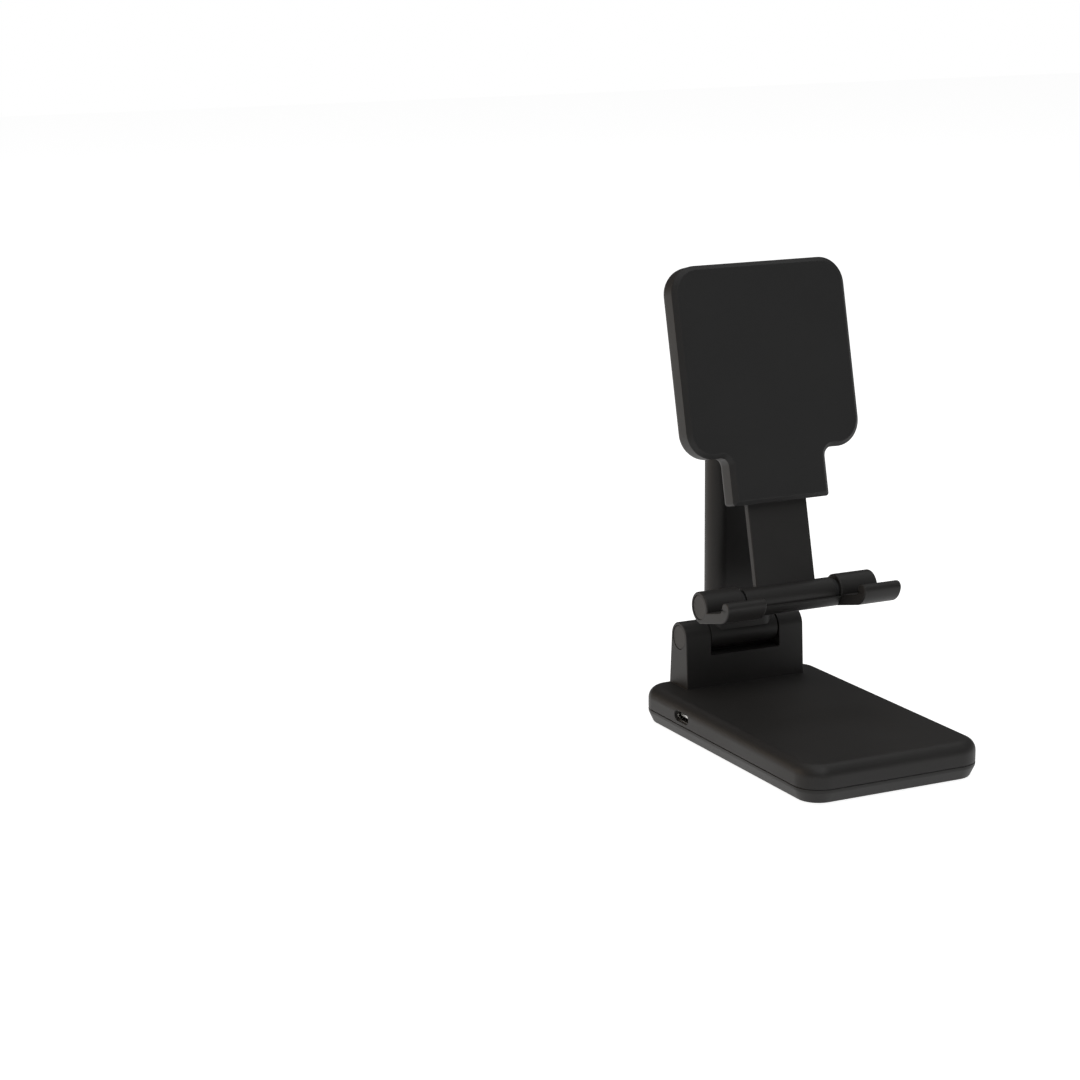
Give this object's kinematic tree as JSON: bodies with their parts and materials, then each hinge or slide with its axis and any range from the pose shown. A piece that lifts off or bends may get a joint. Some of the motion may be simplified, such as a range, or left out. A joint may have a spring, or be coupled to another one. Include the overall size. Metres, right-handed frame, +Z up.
{
  "type": "folding wireless charging stand",
  "caption": "Folding phone charging stand: flat base, telescopic column on a bracket, tilting square pad with a neck, sliding cradle with hooks.",
  "frame": {"origin": "middle of the base's footprint, on the surface it stands on", "axes": "+Z up, +X to the right, -Y towards the user"},
  "size_m": [0.064, 0.106, 0.1524],
  "materials": {
    "shell": "fine matte black moulding",
    "pad_face": "smooth soft-touch black",
    "cap": "dark grey matte disc",
    "foot_rubber": "matte",
    "screw_steel": "bright",
    "screw_black": "black oxide",
    "pin_steel": "turned",
    "washer_nylon": "nylon",
    "plate_steel": "zinc plated",
    "circuit_board": "solder mask",
    "port_shell": "nickel plated",
    "light": "clear lens",
    "copper_coil": "enamelled wire",
    "ferrite": "ferrite sheet"
  },
  "bodies": {
    "base": {"base_cover": "shell", "base_bottom": "shell", "foot_pads": "foot_rubber", "base_screws": "screw_steel", "ballast_plate": "plate_steel", "main_board": "circuit_board", "rear_port": "port_shell", "side_port": "port_shell", "status_light": "light", "base_coil": "copper_coil", "base_ferrite": "ferrite", "column_pin": "pin_steel", "column_washers": "pin_steel", "column_pin_caps": "cap"},
    "column": {"column_knuckle": "shell", "column_sleeve": "shell", "front_screws": "screw_steel", "back_screws": "screw_black", "stop_screw": "screw_black"},
    "arm": {"inner_arm": "shell"},
    "tilt_pin": {"tilt_pin": "pin_steel"},
    "plate": {"plate_back": "shell", "plate_front": "pad_face", "tilt_washers": "pin_steel", "tilt_pin_caps": "cap", "guide_plate": "plate_steel", "guide_screws": "screw_steel", "pad_coil": "copper_coil", "pad_ferrite": "ferrite", "pad_board": "circuit_board"},
    "slider": {"slider": "shell"},
    "cradle_pin": {"cradle_pin": "pin_steel"},
    "cradle": {"cradle": "shell", "cradle_washers": "washer_nylon", "cradle_pin_caps": "cap"}
  },
  "joints": [
    {"name": "column_fold", "type": "hinge", "parent": "base", "child": "column", "pos_m": [0, 0.0438, 0.029], "axis": [1, 0, 0], "range_deg": [0, 90]},
    {"name": "arm_extend", "type": "slide", "parent": "column", "child": "arm", "axis": [0, 0, 1], "range_m": [-0.0255, 0]},
    {"name": "tilt_pin_turn", "type": "hinge", "parent": "arm", "child": "tilt_pin", "pos_m": [0, 0.0438, 0.1314], "axis": [1, 0, 0], "range_deg": [0, 13.12]},
    {"name": "plate_tilt", "type": "hinge", "parent": "tilt_pin", "child": "plate", "pos_m": [0, 0.0438, 0.1314], "axis": [1, 0, 0], "range_deg": [-60, 0]},
    {"name": "cradle_slide", "type": "slide", "parent": "plate", "child": "slider", "axis": [0, -0.227, -0.9739], "range_m": [-0.0248, 0]},
    {"name": "cradle_pin_turn", "type": "hinge", "parent": "slider", "child": "cradle_pin", "pos_m": [0, 0.01359, 0.04716], "axis": [1, 0, 0], "range_deg": [-90, 0]},
    {"name": "cradle_fold", "type": "hinge", "parent": "cradle_pin", "child": "cradle", "pos_m": [0, 0.01359, 0.04716], "axis": [1, 0, 0], "range_deg": [-90, 0]}
  ],
  "couplings": [
    {"joint": "tilt_pin_turn", "follows": "column_fold", "ratio": 0.14578},
    {"joint": "cradle_pin_turn", "follows": "column_fold", "ratio": -1}
  ]
}
